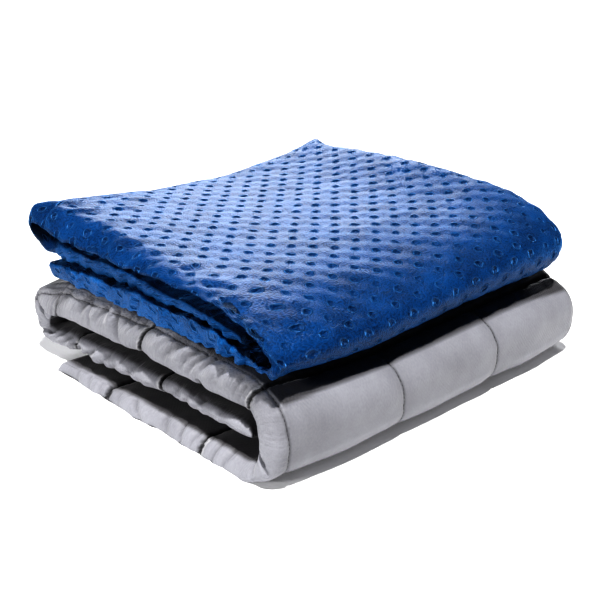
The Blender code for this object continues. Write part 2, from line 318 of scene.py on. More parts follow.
COVER_TOP_CREASES = (
    # hollows beside the lip of the -X end
    Crease(-0.141, -0.038, -0.133, -0.045, -0.0018, 0.0040),
    Crease(-0.144, -0.067, -0.138, -0.076, -0.0020, 0.0042),
    Crease(-0.149, -0.094, -0.146, -0.107, -0.0020, 0.0040),
    Crease(-0.152, -0.121, -0.150, -0.132, -0.0022, 0.0040),
    Crease(-0.143, -0.008, -0.137, -0.014, -0.0010, 0.0040),
    Crease(-0.146, 0.026, -0.139, 0.019, -0.0010, 0.0040),
    # ridges that run in from the back corner
    Crease(-0.150, 0.140, -0.070, 0.118, 0.0016, 0.0046),
    Crease(-0.140, 0.122, -0.060, 0.104, 0.0014, 0.0040),
    Crease(-0.146, 0.104, -0.080, 0.084, 0.0012, 0.0040),
    Crease(-0.150, 0.132, -0.090, 0.110, -0.0014, 0.0036),
    Crease(-0.148, 0.072, -0.110, 0.060, 0.0010, 0.0040),
)
COVER_END_CREASES = (
    # folds of the upper layer's front corner
    Crease(-0.104, 0.105, -0.130, 0.107, -0.0018, 0.0028),
    Crease(-0.129, 0.097, -0.152, 0.102, -0.0030, 0.0026),
    Crease(-0.122, 0.104, -0.146, 0.108, 0.0012, 0.0024),
    Crease(-0.147, 0.096, -0.145, 0.088, -0.0030, 0.0022),
    Crease(-0.140, 0.084, -0.149, 0.089, -0.0026, 0.0020),
    # twisted folds of the two lower ones
    Crease(-0.082, 0.094, -0.100, 0.080, 0.0022, 0.0026),
    Crease(-0.094, 0.093, -0.113, 0.078, 0.0030, 0.0026),
    Crease(-0.101, 0.093, -0.119, 0.079, -0.0034, 0.0022),
    Crease(-0.109, 0.091, -0.134, 0.079, 0.0032, 0.0026),
    Crease(-0.118, 0.092, -0.138, 0.080, -0.0034, 0.0020),
    Crease(-0.130, 0.087, -0.149, 0.081, 0.0026, 0.0024),
    # ruffles of the lower layers
    Crease(0.112, 0.090, 0.100, 0.080, -0.0022, 0.0022),
    Crease(0.100, 0.091, 0.086, 0.080, -0.0020, 0.0020),
    Crease(0.084, 0.091, 0.071, 0.080, -0.0020, 0.0024),
    Crease(0.066, 0.091, 0.055, 0.080, -0.0016, 0.0022),
    Crease(0.040, 0.090, 0.030, 0.081, -0.0016, 0.0024),
    Crease(0.004, 0.090, -0.006, 0.081, -0.0014, 0.0024),
    Crease(-0.030, 0.090, -0.040, 0.081, -0.0014, 0.0024),
    Crease(-0.058, 0.091, -0.068, 0.080, -0.0018, 0.0024),
)

# ---------------------------------------------------------------- painted shade inside the folds

# The painted shade inside the folds fades out where its surface turns to face the side, and
# near the rims: the largest share that faces the side, how far out it reaches along X, and for
# each the stretch over which it fades.
Inside = namedtuple("Inside", "facing turning reach rim")

COVER_INSIDE = Inside(facing=0.84, turning=0.35, reach=0.1565, rim=0.003)
INNER_INSIDE = Inside(facing=0.70, turning=0.45, reach=0.1575, rim=0.004)

BEND_SHADE = (0.0, 0.74)      # from where to where the back bend's -X rim gets painted shade, as a share
BEND_SHADE_OVER = 0.15
BEND_SHADE_X = -0.146         # and how far out that begins
UNDER_COVER = (-0.1495, -0.1455)                # front corner of the painted shade under the cover
UNDER_COVER_OVER = 0.003
DIP_SHADE_DEPTH = 0.0030         # a dip of the inner this deep gets the full painted shade
INSIDE_SHADE = 2.1            # how much darker the painted shade inside the inner's folds and under the cover is than that

# ---------------------------------------------------------------- colours

# Linear red, green and blue.
MINKY_ROOT = (0.0003, 0.006, 0.036, 1.0)        # between the tufts of the pile
MINKY_TIP = (0.003, 0.073, 0.270, 1.0)
MINKY_PAINTED_LIGHT = (0.010, 0.160, 0.500, 1.0)       # painted light on the ends of the lower layers
MINKY_PRESSED_AND_PIT_SHADE = (0.0002, 0.002, 0.016, 1.0)     # in the dots: the darker tone of pile pushed down, with painted shade in their pits
MINKY_RIM_HIGHLIGHT = (0.060, 0.170, 0.400, 1.0)          # painted highlight on the rims round them
MINKY_PAINTED_SHADE = (0.0001, 0.0006, 0.004, 1.0)     # painted shade inside the folds
COTTON_DARK = (0.308, 0.309, 0.346, 1.0)
COTTON_LIGHT = (0.358, 0.360, 0.400, 1.0)
# painted shade where the inner's surface sinks in, inside its folds and under the cover
COTTON_PAINTED_SHADE = (0.050, 0.048, 0.052, 1.0)
COTTON_LIP_HIGHLIGHT = (0.780, 0.780, 0.800, 1.0)        # painted highlight on the lip beside a slit
SEAM_DARK = (0.010, 0.010, 0.012, 1.0)
THREAD_LIGHT = (0.09, 0.09, 0.10, 1.0)
WHITE = (1.0, 1.0, 1.0, 1.0)


# ---------------------------------------------------------------- small helpers

def eased(share):
    """0 to 1 with a level start and end."""
    share = np.clip(share, 0.0, 1.0)
    return share * share * (3.0 - 2.0 * share)


def grows(value, start, over):
    """0 up to start, then eased up to 1 over the stretch that follows."""
    return eased((value - start) / over)


def fades(value, end, over):
    """Eased down from 1 over the stretch before end, and 0 from there."""
    return eased((end - value) / over)


def squared(value, square):
    """A cosine or sine moved from a circle to a boxier oval."""
    return np.sign(value) * np.abs(value) ** (2.0 / square)


def smooth_between(places, values, where):
    """Values at where, on a smooth curve through the tabled places, which rise.

    values has one entry for each place, each a number or an array of where's shape."""
    places = np.asarray(places)
    values = np.array([np.broadcast_to(value, where.shape) for value in values])
    slopes = np.gradient(values, places, axis=0)
    where = np.clip(where, places[0], places[-1])
    low = np.clip(np.searchsorted(places, where, side="right") - 1, 0, len(places) - 2)
    step = places[low + 1] - places[low]
    t = (where - places[low]) / step
    pick = low[np.newaxis]
    start, end = np.take_along_axis(values, pick, 0)[0], np.take_along_axis(values, pick + 1, 0)[0]
    leave = np.take_along_axis(slopes, pick, 0)[0] * step
    arrive = np.take_along_axis(slopes, pick + 1, 0)[0] * step
    return (start * (2 * t**3 - 3 * t**2 + 1) + end * (3 * t**2 - 2 * t**3)
            + leave * (t**3 - 2 * t**2 + t) + arrive * (t**3 - t**2))


def soft_noise(points, size, seed):
    """Noise from -1 to 1 at each point, with lumps of about size metres."""
    shift = Vector((7.31, 3.17, 5.93)) * seed
    flat = np.reshape(points, (-1, 3)) / size
    return np.array([noise.noise(Vector(p) + shift) for p in flat]).reshape(points.shape[:-1])


def lumpy(points, *kinds):
    """Height of these kinds of lumps together, at each point."""
    return sum(kind.height * soft_noise(points, kind.size, kind.seed) for kind in kinds)


def points_of(first, second=0.0, third=0.0):
    """Points with these coordinates, each an array or a number that holds for all."""
    return np.stack(np.broadcast_arrays(first, second, third), axis=-1)


def crease_relief(creases, a, b):
    """Height of the creases at each place a, b, seen square to the side that they lie on."""
    total = np.zeros_like(a)
    for crease in creases:
        run, rise = crease.a_end - crease.a, crease.b_end - crease.b
        share = ((a - crease.a) * run + (b - crease.b) * rise) / (run**2 + rise**2)
        share = np.clip(share, 0.0, 1.0)
        away = np.hypot(a - crease.a - share * run, b - crease.b - share * rise)
        total += crease.height * (1.0 - 0.6 * share) * np.exp(-(away / crease.width) ** 2)
    return total


# ---------------------------------------------------------------- heights of the bundles

def bundle_height(table, x, y):
    """Height of a bundle at each place, by its table."""
    across = [smooth_between(HEIGHT_PLACES, (row.edge, row.front, row.middle, row.back), y)
              for row in table]
    return smooth_between([row.x for row in table], across, x)


def inner_level(x, y, share):
    """Height of a share of the inner's thickness: 0 is the floor, 1 its top."""
    sag = CORNER_DROP * grows(y, SAG_START[1], SAG_OVER[1]) * fades(x, SAG_START[0], SAG_OVER[0])
    return share * (bundle_height(INNER_HEIGHTS, x, y) - sag)


def cover_level(x, y, share):
    """Height of a share of the cover's thickness: 0 is just above the inner's top."""
    base = bundle_height(INNER_HEIGHTS, x, y) + NEST_GAP
    return base + share * bundle_height(COVER_HEIGHTS, x, y)


# ---------------------------------------------------------------- the folded section

# Samples along the cloth, with the middle of the fold at the origin. marks holds the lengths
# where its runs, its bends and its last end begin, and scale is the height that a share of 1
# stands for.
Section = namedtuple("Section", "length y z normal_y normal_z half left right marks scale")


def run_samples(layer, scale):
    """Samples of a layer's straight run: its Y, Z, half thickness, and reach to either side."""
    count = round(abs(layer.end - layer.start) / SAMPLE)
    share = np.linspace(0.0, 1.0, count)
    low = layer.low + (layer.low_end - layer.low) * share
    high = layer.high + (layer.high_end - layer.high) * share
    y = layer.start + (layer.end - layer.start) * share
    side = np.ones(count)
    return np.stack([y, (low + high) / 2 * scale, (high - low) / 2 * scale,
                     layer.left * side, layer.right * side])


def bend_samples(before, after, bend, facing):
    """Samples round the bend between two runs. facing is 1 at +Y and -1 at -Y."""
    thinned = grows(np.linspace(0.0, 1.0, BEND_SAMPLES), LATE_THINNING, 1.0 - LATE_THINNING)
    half = before[2] + (after[2] - before[2]) * thinned
    run = bend.reach - half[BEND_SAMPLES // 2]
    middle, rise = (before[1] + after[1]) / 2, (after[1] - before[1]) / 2
    angle = np.linspace(0.0, math.pi, BEND_SAMPLES)
    above = -np.cos(angle) * rise > 0
    square = np.where(above, bend.square_above, bend.square_below)
    share = angle / math.pi
    fixed = [before[i] + (after[i] - before[i]) * share for i in (3, 4)]
    return np.stack([before[0] + facing * run * squared(np.sin(angle), square),
                     middle - rise * squared(np.cos(angle), square), half, *fixed])


def end_samples(last, way, long, square):
    """Samples past a free end of the cloth, which round it off towards way along Y."""
    turn = np.linspace(0.0, math.pi / 2, END_SAMPLES)
    reach = long * last[2] * squared(np.cos(turn), square)
    samples = np.repeat(last[:, np.newaxis], len(turn), axis=1)
    samples[0] += way * reach
    samples[2] *= squared(np.sin(turn), square)
    samples[2, 0] = 0.0
    return samples


def folded_section(layers, back, front, free, scale):
    """The cloth's section: middle layer, back bend, top layer, front curl, bottom layer."""
    middle, top, bottom = (run_samples(layer, scale) for layer in layers)
    parts = [end_samples(middle[:, 0], -1.0, free.inside, free.square), middle,
             bend_samples(middle[:, -1], top[:, 0], back, 1.0), top,
             bend_samples(top[:, -1], bottom[:, 0], front, -1.0), bottom,
             end_samples(bottom[:, -1], 1.0, free.under, free.square)[:, ::-1]]
    joined = np.concatenate([part[:, 1:] if i else part for i, part in enumerate(parts)], axis=1)
    steps = np.hypot(np.diff(joined[0]), np.diff(joined[1]))
    length = np.concatenate([[0.0], np.cumsum(steps)])
    counts = np.cumsum([part.shape[1] - (1 if i else 0) for i, part in enumerate(parts)])
    marks = dict(zip(("middle", "back", "top", "front", "bottom", "end"), length[counts[:-1] - 1]))
    even = np.append(np.arange(0.0, length[-1], SAMPLE), length[-1])
    y, z, half, left, right = (np.interp(even, length, row) for row in joined)
    window = np.hanning(HEADING_SAMPLES)
    window /= window.sum()
    past = HEADING_SAMPLES // 2
    heading = [np.convolve(np.pad(np.gradient(row, even), past, mode="edge"), window, mode="valid")
               for row in (y, z)]
    size = np.hypot(*heading)
    return Section(even, y, z, heading[1] / size, -heading[0] / size, half, left, right,
                   marks, scale)


def along_top(section, y):
    """Length along the cloth where its top layer passes y."""
    return section.marks["top"] + (np.interp(section.marks["top"], section.length, section.y) - y)


def stretch_values(section, along, values):
    """Values set for the six marks of the cloth, eased from one to the next."""
    marks = section.marks
    places = [marks[key] for key in ("middle", "back", "top", "front", "bottom", "end")]
    return smooth_between(places, values, along)


def clear_of_ends(section, along, over):
    """0 at both free ends of the cloth, and eased up to 1 at over from them."""
    return eased(along / over) * fades(along, section.length[-1], over)


# ---------------------------------------------------------------- columns round the section

# side is 1 on the outer skin and -1 on the inner one. flat is the share across the flat part,
# turn the angle round a rounded end, in radians, and end its sign: -1 at -X and 1 at +X.
Ring = namedtuple("Ring", "side flat turn end")


def even_turns(count, wide, high, square):
    """Angles that divide a rounded end evenly, from its rim (a quarter turn) to the flat."""
    turn = np.linspace(0.0, math.pi / 2, TURN_SAMPLES)
    x, z = wide * squared(np.sin(turn), square), high * squared(np.cos(turn), square)
    length = np.concatenate([[0.0], np.cumsum(np.hypot(np.diff(x), np.diff(z)))])
    return np.interp(np.linspace(length[-1], 0.0, count + 1), length, turn)


def ring_places(flat, back_flat, left_turns, right_turns):
    """Columns round the section, from the -X rim: flat's shares over it, and back_flat's back."""
    left, right = left_turns[:-1], right_turns[:-1][::-1]

    def way(shares):
        return [np.concatenate([np.zeros(len(left)), shares, np.ones(len(right))]),
                np.concatenate([left, np.zeros(len(shares)), right]),
                np.concatenate([-np.ones(len(left)), np.zeros(len(shares)), np.ones(len(right))])]

    over, back = way(flat), [values[-2:0:-1] for values in way(back_flat)]
    side = np.concatenate([np.ones(len(over[0])), -np.ones(len(back[0]))])
    return Ring(side, *(np.concatenate(pair) for pair in zip(over, back)))


def fine_at_ends(coarse, fine, reach):
    """Shares from 0 to 1 in coarse steps, with fine ones within reach of both ends."""
    near = np.arange(0.0, reach, fine)
    return np.concatenate([near, np.linspace(reach, 1.0 - reach, round((1.0 - 2 * reach) / coarse)),
                           1.0 - near[::-1]])


# ---------------------------------------------------------------- surfaces

def folded_points(section, ring, along, level, ends, lip=0.0, droop=0.0, tuck=0.0, pinch=0.0):
    """Points of the cloth before its relief: a row for each length, a column round the section.

    lip moves the -X end outwards, and droop lets both ends hang. At the -X end, tuck draws the
    lower part of the back bend in, and pinch thins the cloth by up to that share, from the
    back bend to the front curl, while its outer skin stays."""
    def at(values):
        return np.interp(along, section.length, values)

    # how far round the back bend and the front curl each row lies
    marks = section.marks
    back = (along - marks["back"]) / (marks["top"] - marks["back"])
    front = (along - marks["front"]) / (marks["bottom"] - marks["front"])

    at_back = BACK_PINCH * grows(back, -0.2, 0.4) * fades(back, 1.3, 0.4)
    on_top = TOP_PINCH * grows(back, 0.9, 0.3) * fades(front, 0.3, 0.3)
    at_front = grows(front, -0.5, 0.4) * fades(front, 0.80, 0.3)
    thinned = pinch * np.maximum(np.maximum(at_back, at_front), on_top)
    full = at(section.half)
    half = full * (1.0 - thinned * eased(1.0 - ring.flat / PINCH_REACH))

    # the rounded ends, which are shorter at the back bend
    lip = lip - tuck * grows(back, -0.2, 0.3) * fades(back, 0.62, 0.3)
    bend = grows(along - marks["back"], 0.005, 0.015) * fades(along, marks["top"] + 0.004, 0.020)
    largest = ends.largest + (ends.at_back - ends.largest) * bend
    radius = np.clip(stretch_values(section, along, ends.long) * half, END_SMALLEST, largest)
    low = radius - HALF_WIDTH - at(section.left) - lip
    high = HALF_WIDTH + at(section.right) - radius
    x = low + (high - low) * ring.flat
    x = x + ring.end * radius * squared(np.sin(ring.turn), ends.square)
    lift = ring.side * half * squared(np.cos(ring.turn), ends.square)
    lift = np.where(np.abs(ring.turn) > math.pi / 2 - 1e-6, 0.0, lift)
    lift = lift + full - half
    y = at(section.y) + at(section.normal_y) * lift
    z = at(section.z) + at(section.normal_z) * lift - droop * np.sin(ring.turn) ** 2

    corner = grows(np.abs(x), CORNER_START, HALF_WIDTH - CORNER_START)
    y = y * (1.0 - corner * np.where(y < 0, FRONT_DRAW, BACK_DRAW))
    lower = fades(z / section.scale, 0.76, 0.25)
    y = y - tuck * corner * (x < 0) * lower * grows(y, 0.03, 0.10)
    return np.stack([x + ORIGIN_X, y + ORIGIN_Y, level(x, y, z / section.scale)], axis=-1)


def surface_normals(points):
    """Unit normals that point out of the tube of points."""
    down = np.gradient(points, axis=0)
    round_it = np.roll(points, -1, axis=1) - np.roll(points, 1, axis=1)
    normals = np.cross(down, round_it)
    return normals / np.maximum(np.linalg.norm(normals, axis=-1, keepdims=True), 1e-12)


def left_end(normals, x):
    """1 on the layered end that faces -X, and 0 elsewhere."""
    return eased(-normals[..., 0] / END_FACING) * (x < END_START)


def fold_inside(kind, section, ring, along, normals, x):
    """Where shade is painted inside the folds: 1 on the inner skin and the middle layer, and 0 on what
    shows.
    """
    hidden = (ring.side < 0) | (along < section.marks["back"])
    return (hidden * fades(np.abs(normals[..., 0]), kind.facing, kind.turning)
            * fades(np.abs(x), kind.reach, kind.rim))


def placed(name, data):
    """An object in the scene with this mesh, lamp or camera."""
    thing = bpy.data.objects.new(name, data)
    bpy.context.scene.collection.objects.link(thing)
    return thing


def mesh_of(name, bm, material):
    """The finished mesh of a bmesh, with its material."""
    mesh = bpy.data.meshes.new(name)
    bm.to_mesh(mesh)
    bm.free()
    mesh.materials.append(material)
    return mesh


def cloth_object(name, points, along, around, material, masks):
    """A closed mesh of the tube of points, with a UV map in metres along and round the cloth.

    along and around have a column more than the points, for where the tube meets itself. masks
    are attributes that the material reads, each an array of the points' rows and columns."""
    rows, columns = points.shape[0] - 1, points.shape[1]
    bm = bmesh.new()
    bm.loops.layers.uv.new("cloth")
    layers = [(bm.verts.layers.float.new(mask), values) for mask, values in masks.items()]
    bmesh.ops.create_grid(bm, x_segments=rows, y_segments=columns, size=0.5, calc_uvs=True)
    for vert in bm.verts:
        row, column = round((vert.co.x + 0.5) * rows), round((vert.co.y + 0.5) * columns)
        vert.co = points[row, column % columns]
        for layer, values in layers:
            vert[layer] = values[row, column % columns]
    bmesh.ops.remove_doubles(bm, verts=bm.verts, dist=1e-7)
    bmesh.ops.recalc_face_normals(bm, faces=bm.faces)
    mesh = mesh_of(name, bm, material)
    uvs = np.empty(len(mesh.loops) * 2)
    uv_layer = mesh.uv_layers["cloth"].data
    uv_layer.foreach_get("uv", uvs)
    row, column = np.rint(uvs.reshape(-1, 2) * (rows, columns)).astype(int).T
    uvs = np.stack([along[row, column], around[row, column]], axis=-1)
    uv_layer.foreach_set("uv", uvs.ravel())
    mesh.shade_smooth()
    return placed(name, mesh)


# ---------------------------------------------------------------- shader helpers

def add_node(tree, kind, settings=None, **inputs):
    """A shader node. Inputs are values or sockets, by the socket's name with _ for a space, or
    by its number after an i."""
    node = tree.nodes.new(kind)
    for key, value in (settings or {}).items():
        setattr(node, key, value)
    for key, value in inputs.items():
        name = key.replace("_", " ")
        socket = node.inputs[int(key[1:])] if key[0] == "i" and key[1:].isdigit() else node.inputs[name]
        if isinstance(value, bpy.types.NodeSocket):
            tree.links.new(value, socket)
        else:
            socket.default_value = value
    return node


def maths(tree, operation, first, second=0.0, third=0.0):
    node = add_node(tree, "ShaderNodeMath", {"operation": operation}, i0=first, i1=second, i2=third)
    return node.outputs[0]


def scaled(tree, value, factor):
    return maths(tree, "MULTIPLY", value, factor)


def vector_maths(tree, operation, first, second, third=(0.0, 0.0, 0.0)):
    return add_node(tree, "ShaderNodeVectorMath", {"operation": operation},
                    i0=first, i1=second, i2=third).outputs[0]


def noise_sockets(tree, places, scale, detail, **inputs):
    """Noise with lumps of about 1 / scale metres."""
    return add_node(tree, "ShaderNodeTexNoise", Vector=places, Scale=scale, Detail=detail,
                    **inputs).outputs


def mask(tree, name):
    """A mask that the mesh carries as an attribute."""
    return add_node(tree, "ShaderNodeAttribute", {"attribute_name": name}).outputs["Fac"]


def ranged(tree, value, low, high, to_low=0.0, to_high=1.0):
    """Smooth step of a value from low to high."""
    node = add_node(tree, "ShaderNodeMapRange", {"interpolation_type": "SMOOTHSTEP"}, Value=value,
                    From_Min=low, From_Max=high, To_Min=to_low, To_Max=to_high)
    return node.outputs["Result"]


def mixed(tree, factor, first, second):
    """A colour that goes from first to second by the factor."""
    node = add_node(tree, "ShaderNodeMix", {"data_type": "RGBA"}, i0=factor, i6=first, i7=second)
    return node.outputs[2]


def new_group(name, inputs, outputs):
    """An empty shader node group. Returns its tree, its input sockets and its output node."""
    group = bpy.data.node_groups.new(name, "ShaderNodeTree")
    for title, kind, value in inputs:
        socket = group.interface.new_socket(title, in_out="INPUT", socket_type=kind)
        if value is not None:
            socket.default_value = value
    for title, kind in outputs:
        group.interface.new_socket(title, in_out="OUTPUT", socket_type=kind)
    entry = group.nodes.new("NodeGroupInput")
    leave = group.nodes.new("NodeGroupOutput")
    return group, entry.outputs, leave


def use_group(tree, group, **inputs):
    return add_node(tree, "ShaderNodeGroup", {"node_tree": group}, **inputs).outputs


def new_material(name):
    """A new material. Returns it with its node tree and its shader."""
    material = bpy.data.materials.new(name)
    material.use_nodes = True
    tree = material.node_tree
    return material, tree, tree.nodes["Principled BSDF"]


def on_cloth(tree):
    """Places on the cloth, from its UV map: metres along and round it."""
    return add_node(tree, "ShaderNodeUVMap", {"uv_map": "cloth"}).outputs["UV"]


def set_sockets(shader, **values):
    """Sets the shader's own sockets, by their names with _ for a space."""
    for key, value in values.items():
        shader.inputs[key.replace("_", " ")].default_value = value


def raise_surface(tree, shader, height, distance, strength):
    bump = add_node(tree, "ShaderNodeBump", Height=height, Distance=distance, Strength=strength)
    tree.links.new(bump.outputs["Normal"], shader.inputs["Normal"])


# ---------------------------------------------------------------- shader node groups

FLOAT, VECTOR = "NodeSocketFloat", "NodeSocketVector"

# From where to where a dot's pit, rim and nub change, as shares of DOT_CELL from its middle.
PIT_EDGE = (0.07, 0.26)
RIM_RISE, RIM_FALL = (0.24, 0.30), (0.30, 0.38)
NUB_EDGE = (0.02, 0.10)
DOT_WOBBLE = 0.0030           # how far a dot's outline wanders, in metres


def dot_lattice_group():
    """Dots of minky cloth, on a square grid turned by 45 degrees: their pits, rims and nubs."""
    group, entry, leave = new_group(
        "dot_lattice", [("Places", VECTOR, None), ("Half Step", FLOAT, DOT_CELL)],
        [("Pit", FLOAT), ("Rim", FLOAT), ("Nub", FLOAT)])
    wobble = noise_sockets(group, entry["Places"], 170.0, 1.0)["Color"]
    centred = vector_maths(group, "SUBTRACT", wobble, (0.5, 0.5, 0.5))
    moved = vector_maths(group, "MULTIPLY_ADD", centred, (DOT_WOBBLE, DOT_WOBBLE, 0.0), entry["Places"])
    split = add_node(group, "ShaderNodeSeparateXYZ", Vector=moved)
    p, q = (maths(group, "DIVIDE", split.outputs[axis], entry["Half Step"]) for axis in "XY")
    aways, cells = [], []
    for way in ("ADD", "SUBTRACT"):
        place = scaled(group, maths(group, way, p, q), 0.5)
        cells.append(maths(group, "ROUND", place))
        aways.append(maths(group, "SUBTRACT", place, cells[-1]))
    square = maths(group, "ADD", *(scaled(group, away, away) for away in aways))
    away = maths(group, "SQRT", scaled(group, square, 2.0))

    # each dot is pressed in by its own depth, from 0.5 to 1.1
    cell = add_node(group, "ShaderNodeCombineXYZ", X=cells[0], Y=cells[1]).outputs[0]
    chance = add_node(group, "ShaderNodeTexWhiteNoise", {"noise_dimensions": "3D"}, Vector=cell)
    depth = maths(group, "MULTIPLY_ADD", chance.outputs["Value"], 0.6, 0.5)
    pit = scaled(group, ranged(group, away, *PIT_EDGE, 1.0, 0.0), depth)
    rim = scaled(group, ranged(group, away, *RIM_RISE), ranged(group, away, *RIM_FALL, 1.0, 0.0))
    group.links.new(pit, leave.inputs["Pit"])
    group.links.new(scaled(group, rim, depth), leave.inputs["Rim"])
    group.links.new(ranged(group, away, *NUB_EDGE, 1.0, 0.0), leave.inputs["Nub"])
    return group


def pile_group():
    """Short soft pile: its tufts, and the light and dark patches of brushed fibres."""
    group, entry, leave = new_group(
        "soft_pile", [("Places", VECTOR, None), ("Fineness", FLOAT, 760.0)],
        [("Height", FLOAT), ("Tone", FLOAT)])
    fine = noise_sockets(group, entry["Places"], entry["Fineness"], 1.0, Roughness=0.6)["Fac"]
    tufts = ranged(group, fine, 0.34, 0.66)
    clumps = noise_sockets(group, entry["Places"], 420.0, 2.0)["Fac"]
    patches = noise_sockets(group, entry["Places"], 38.0, 2.0)["Fac"]
    height = maths(group, "MULTIPLY_ADD", tufts, 0.45, scaled(group, clumps, 0.5))
    group.links.new(height, leave.inputs["Height"])
    broad = maths(group, "MULTIPLY_ADD", clumps, 0.45, scaled(group, patches, 0.55))
    tone = maths(group, "MULTIPLY_ADD", tufts, 0.55, ranged(group, broad, 0.38, 0.62, 0.0, 0.45))
    group.links.new(tone, leave.inputs["Tone"])
    return group


def weave_group():
    """Plain weave: threads that go over and under each other along and across the cloth."""
    group, entry, leave = new_group(
        "fine_weave", [("Places", VECTOR, None), ("Threads", FLOAT, 2200.0)],
        [("Height", FLOAT), ("Tone", FLOAT)])
    sized = add_node(group, "ShaderNodeVectorMath", {"operation": "SCALE"}, i0=entry["Places"],
                     Scale=entry["Threads"])
    split = add_node(group, "ShaderNodeSeparateXYZ", Vector=sized.outputs[0])
    waves = [maths(group, "SINE", split.outputs[axis]) for axis in "XY"]
    threads = maths(group, "MULTIPLY_ADD", scaled(group, *waves), 0.5, 0.5)
    slubs = noise_sockets(group, entry["Places"], 700.0, 2.0)["Fac"]
    height = maths(group, "MULTIPLY_ADD", slubs, 0.6, scaled(group, threads, 0.4))
    group.links.new(height, leave.inputs["Height"])
    patches = noise_sockets(group, entry["Places"], 90.0, 4.0)["Fac"]
    tone = maths(group, "MULTIPLY_ADD", slubs, 0.5, scaled(group, patches, 0.5))
    group.links.new(tone, leave.inputs["Tone"])
    return group


# ---------------------------------------------------------------- materials

def minky_material():
    """Short blue pile with pressed dots, with the masks of the cover, which paint shade in the dots'
    pits and inside the folds, highlights on the dots' rims, and light on the ends of the lower layers.
    """
    material, tree, shader = new_material("minky")
    places = on_cloth(tree)
    dots = use_group(tree, dot_lattice_group(), Places=places)
    pile = use_group(tree, pile_group(), Places=places)
    cloth = mixed(tree, pile["Tone"], MINKY_ROOT, MINKY_TIP)
    # painted light: the ends of the lower layers are lighter
    painted_light_share = scaled(tree, mask(tree, "painted_light_ends"), scaled(tree, pile["Tone"], 0.9))
    cloth = mixed(tree, painted_light_share, cloth, MINKY_PAINTED_LIGHT)
    # painted shade in the dots' pits, on top of the darker tone of their pushed-down pile, left out at
    # the nub in the middle
    pressed = maths(tree, "MULTIPLY_ADD", dots["Pit"], 0.52, scaled(tree, dots["Nub"], -0.35))
    cloth = mixed(tree, pressed, cloth, MINKY_PRESSED_AND_PIT_SHADE)
    # painted highlight on the dots' rims
    cloth = mixed(tree, scaled(tree, dots["Rim"], 0.34), cloth, MINKY_RIM_HIGHLIGHT)
    # painted shade inside the folds and on the back bend's -X rim
    cloth = mixed(tree, scaled(tree, mask(tree, "painted_shade"), 0.95), cloth, MINKY_PAINTED_SHADE)
    tree.links.new(cloth, shader.inputs["Base Color"])

    # in millimetres
    height = maths(tree, "MULTIPLY_ADD", dots["Pit"], -1.3, scaled(tree, dots["Rim"], 1.1))
    height = maths(tree, "MULTIPLY_ADD", dots["Nub"], 0.4, height)
    height = maths(tree, "MULTIPLY_ADD", pile["Height"], 0.52, height)
    raise_surface(tree, shader, height, MM, 1.0)
    set_sockets(shader, Roughness=0.48, Specular_IOR_Level=0.5, Specular_Tint=(0.26, 0.52, 1.0, 1.0),
                Sheen_Weight=0.80, Sheen_Roughness=0.35, Sheen_Tint=(0.10, 0.40, 1.0, 1.0))
    return material


def cotton_material():
    """Smooth grey cotton, with the masks of the inner, which paint shade where its surface sinks in,
    inside its folds and under the cover, and highlights beside its slits.
    """
    material, tree, shader = new_material("quilted_cotton")
    places = on_cloth(tree)
    weave = use_group(tree, weave_group(), Places=places)
    cloth = mixed(tree, ranged(tree, weave["Tone"], 0.3, 0.7), COTTON_DARK, COTTON_LIGHT)
    # painted shade where the surface sinks in, inside the folds and under the cover; painted highlight
    # beside the slits; then the dark seams
    for name, strength, colour in (("painted_shade", 0.45, COTTON_PAINTED_SHADE), ("lip_highlight", 0.5, COTTON_LIP_HIGHLIGHT),
                                   ("seam", 0.97, SEAM_DARK)):
        cloth = mixed(tree, scaled(tree, mask(tree, name), strength), cloth, colour)
    tree.links.new(cloth, shader.inputs["Base Color"])

    # in millimetres: puckers of the hem, folds drawn out across its edge, and the weave
    puckers = noise_sockets(tree, places, 420.0, 2.0)["Fac"]
    height = scaled(tree, scaled(tree, puckers, mask(tree, "hem")), 3.0)
    drawn = vector_maths(tree, "MULTIPLY", places, (1.0, 0.16, 1.0))
    folds = noise_sockets(tree, drawn, 330.0, 4.0)["Fac"]
    height = maths(tree, "MULTIPLY_ADD", scaled(tree, folds, mask(tree, "gather")), 4.0, height)
    height = maths(tree, "MULTIPLY_ADD", weave["Height"], 0.3, height)
    raise_surface(tree, shader, height, MM, 0.7)
    set_sockets(shader, Roughness=0.55, Specular_IOR_Level=0.35, Sheen_Weight=0.25, Sheen_Roughness=0.4)
    return material


def thread_material():
    """Dark grey sewing thread, mottled by its plies."""
    material, tree, shader = new_material("thread")
    places = add_node(tree, "ShaderNodeTexCoord").outputs["Object"]
    plies = noise_sockets(tree, places, 2600.0, 1.0)["Fac"]
    tree.links.new(mixed(tree, plies, SEAM_DARK, THREAD_LIGHT), shader.inputs["Base Color"])
    raise_surface(tree, shader, plies, 0.1 * MM, 0.6)
    set_sockets(shader, Roughness=0.5)
    return material


def floor_material():
    """A pale matt table with a faint glow of its own."""
    material, _, shader = new_material("pale_floor")
    set_sockets(shader, Base_Color=(0.92, 0.92, 0.92, 1.0), Roughness=0.8, Emission_Color=WHITE,
                Emission_Strength=0.06)
    return material


def backdrop_material():
    """White to the eye, and dark to the light that falls on the cloth."""
    material, tree, shader = new_material("white_backdrop")
    set_sockets(shader, Base_Color=(0.0, 0.0, 0.0, 1.0), Specular_IOR_Level=0.0, Emission_Strength=1.3)
    seen = add_node(tree, "ShaderNodeLightPath").outputs["Is Camera Ray"]
    glow = mixed(tree, seen, (0.02, 0.02, 0.02, 1.0), WHITE)
    tree.links.new(glow, shader.inputs["Emission Color"])
    return material


# ---------------------------------------------------------------- the minky cover

